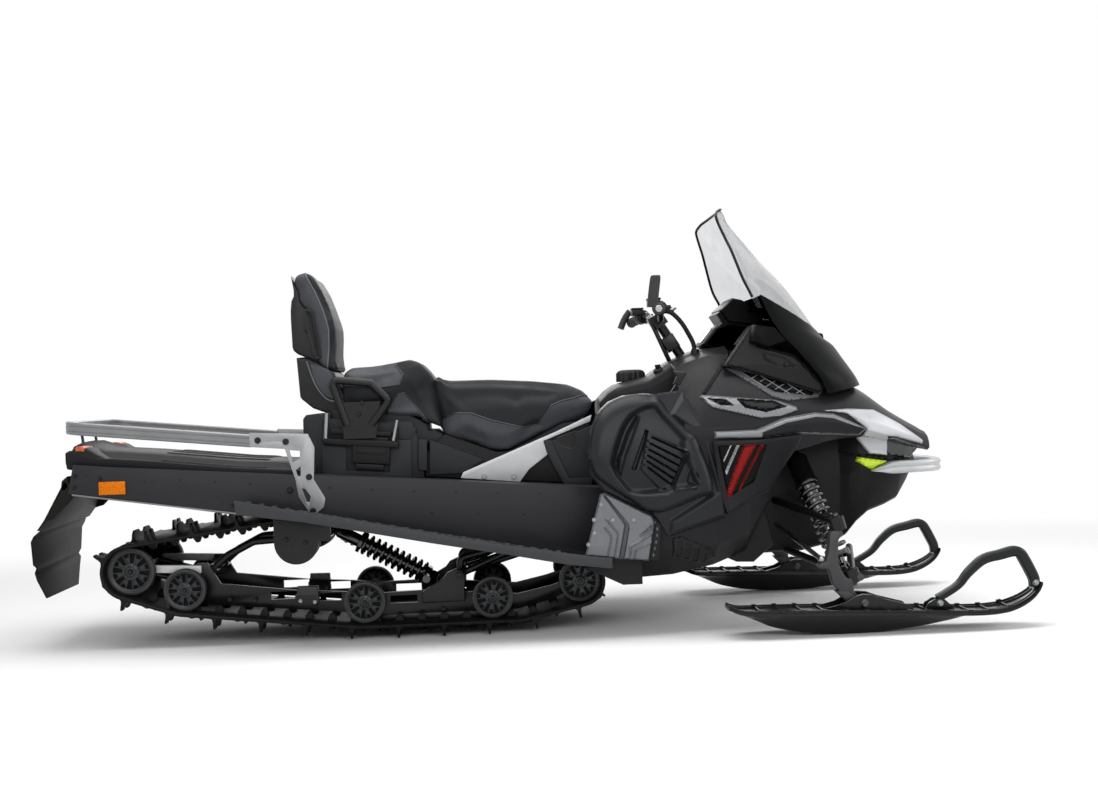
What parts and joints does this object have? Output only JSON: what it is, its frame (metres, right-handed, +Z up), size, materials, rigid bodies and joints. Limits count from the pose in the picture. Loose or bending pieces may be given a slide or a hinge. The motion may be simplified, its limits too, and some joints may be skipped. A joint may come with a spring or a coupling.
{
  "type": "snowmobile",
  "caption": "Two-seat utility snowmobile with a long lugged track, sprung skid, steerable skis, cargo rack, backrest and tall windshield.",
  "frame": {"origin": "middle of the footprint on the floor, at mid length and mid width", "axes": "+X forward towards the ski tips, +Y to the left side, +Z up"},
  "size_m": [3.216, 1.096, 1.3921],
  "materials": {
    "tunnel_paint": "satin",
    "board_metal": "satin",
    "amber_lens": "gloss",
    "red_lens": "gloss",
    "black_plastic": "matte",
    "flap_rubber": "matte",
    "silver_metal": "satin",
    "seat_vinyl": "satin",
    "body_plastic": "satin",
    "silver_plastic": "gloss",
    "lamp_glass": "gloss",
    "clear_screen": "gloss",
    "lime_lens": "gloss",
    "black_metal": "satin",
    "bare_steel": "satin",
    "cast_metal": "matte",
    "track_rubber": "matte",
    "wheel_plastic": "matte",
    "runner_plastic": "satin",
    "grip_rubber": "matte",
    "ski_plastic": "gloss",
    "handle_plastic": "satin"
  },
  "bodies": {
    "chassis": {"tunnel": "tunnel_paint", "running_boards": "board_metal", "side_reflectors": "amber_lens", "rear_deck": "black_plastic", "tail_lamp": "red_lens", "snow_flap": "flap_rubber", "cargo_rack": "silver_metal", "rack_brackets": "silver_metal", "seat_box": "black_plastic", "passenger_seat": "seat_vinyl", "rider_seat": "seat_vinyl", "seat_base": "black_plastic", "seat_trims": "silver_metal", "backrest_pad": "seat_vinyl", "backrest_frame": "black_plastic", "grab_handles": "black_metal", "console": "body_plastic", "fuel_cap": "black_plastic", "hood": "body_plastic", "headlight_cowl": "silver_plastic", "headlamp_lens": "lamp_glass", "vent_frames": "silver_plastic", "front_frame": "black_metal", "lower_cowl": "body_plastic", "side_panels": "body_plastic", "foot_guards": "silver_metal", "engine": "cast_metal", "nose_pan": "body_plastic", "marker_reflectors": "lime_lens", "front_bumper": "silver_metal", "windshield": "clear_screen", "fairing": "body_plastic", "dash_pod": "black_plastic", "pull_handle": "black_plastic", "front_arms": "black_metal", "front_shocks": "black_metal", "track": "track_rubber", "idler_wheels": "wheel_plastic", "slide_rails": "black_metal", "rail_runners": "runner_plastic", "skid_arms": "black_metal", "skid_shock": "black_metal", "drop_brackets": "black_metal", "drive_shaft": "bare_steel"},
    "handlebar_set": {"steering_post": "black_metal", "handlebar": "black_metal", "grips": "grip_rubber", "bar_controls": "black_plastic"},
    "ski_leg_left": {"spindle_left": "cast_metal", "ski_left": "ski_plastic", "ski_handle_left": "handle_plastic"},
    "ski_leg_right": {"spindle_right": "cast_metal", "ski_right": "ski_plastic", "ski_handle_right": "handle_plastic"},
    "tie_rod_left": {"tie_rod_left": "bare_steel"},
    "tie_rod_right": {"tie_rod_right": "bare_steel"}
  },
  "joints": [
    {"name": "steering", "type": "hinge", "parent": "chassis", "child": "handlebar_set", "pos_m": [0.535, 0, 0.934], "axis": [-0.5373, 0, 0.8434], "range_deg": [-30, 30]},
    {"name": "ski_left_steer", "type": "hinge", "parent": "chassis", "child": "ski_leg_left", "pos_m": [1.01, 0.452, 0.178], "axis": [-0.2439, 0, 0.9698], "range_deg": [-30, 30]},
    {"name": "ski_right_steer", "type": "hinge", "parent": "chassis", "child": "ski_leg_right", "pos_m": [1.01, -0.452, 0.178], "axis": [-0.2439, 0, 0.9698], "range_deg": [-30, 30]},
    {"name": "tie_left_slide", "type": "slide", "parent": "chassis", "child": "tie_rod_left", "axis": [0, 1, 0], "range_m": [-0.04, 0.04]},
    {"name": "tie_right_slide", "type": "slide", "parent": "chassis", "child": "tie_rod_right", "axis": [0, 1, 0], "range_m": [-0.04, 0.04]}
  ],
  "couplings": [
    {"joint": "ski_left_steer", "follows": "steering", "ratio": 0.9},
    {"joint": "ski_right_steer", "follows": "steering", "ratio": 0.9},
    {"joint": "tie_left_slide", "follows": "steering", "m_per_rad": -0.0675},
    {"joint": "tie_right_slide", "follows": "steering", "m_per_rad": -0.0675}
  ]
}
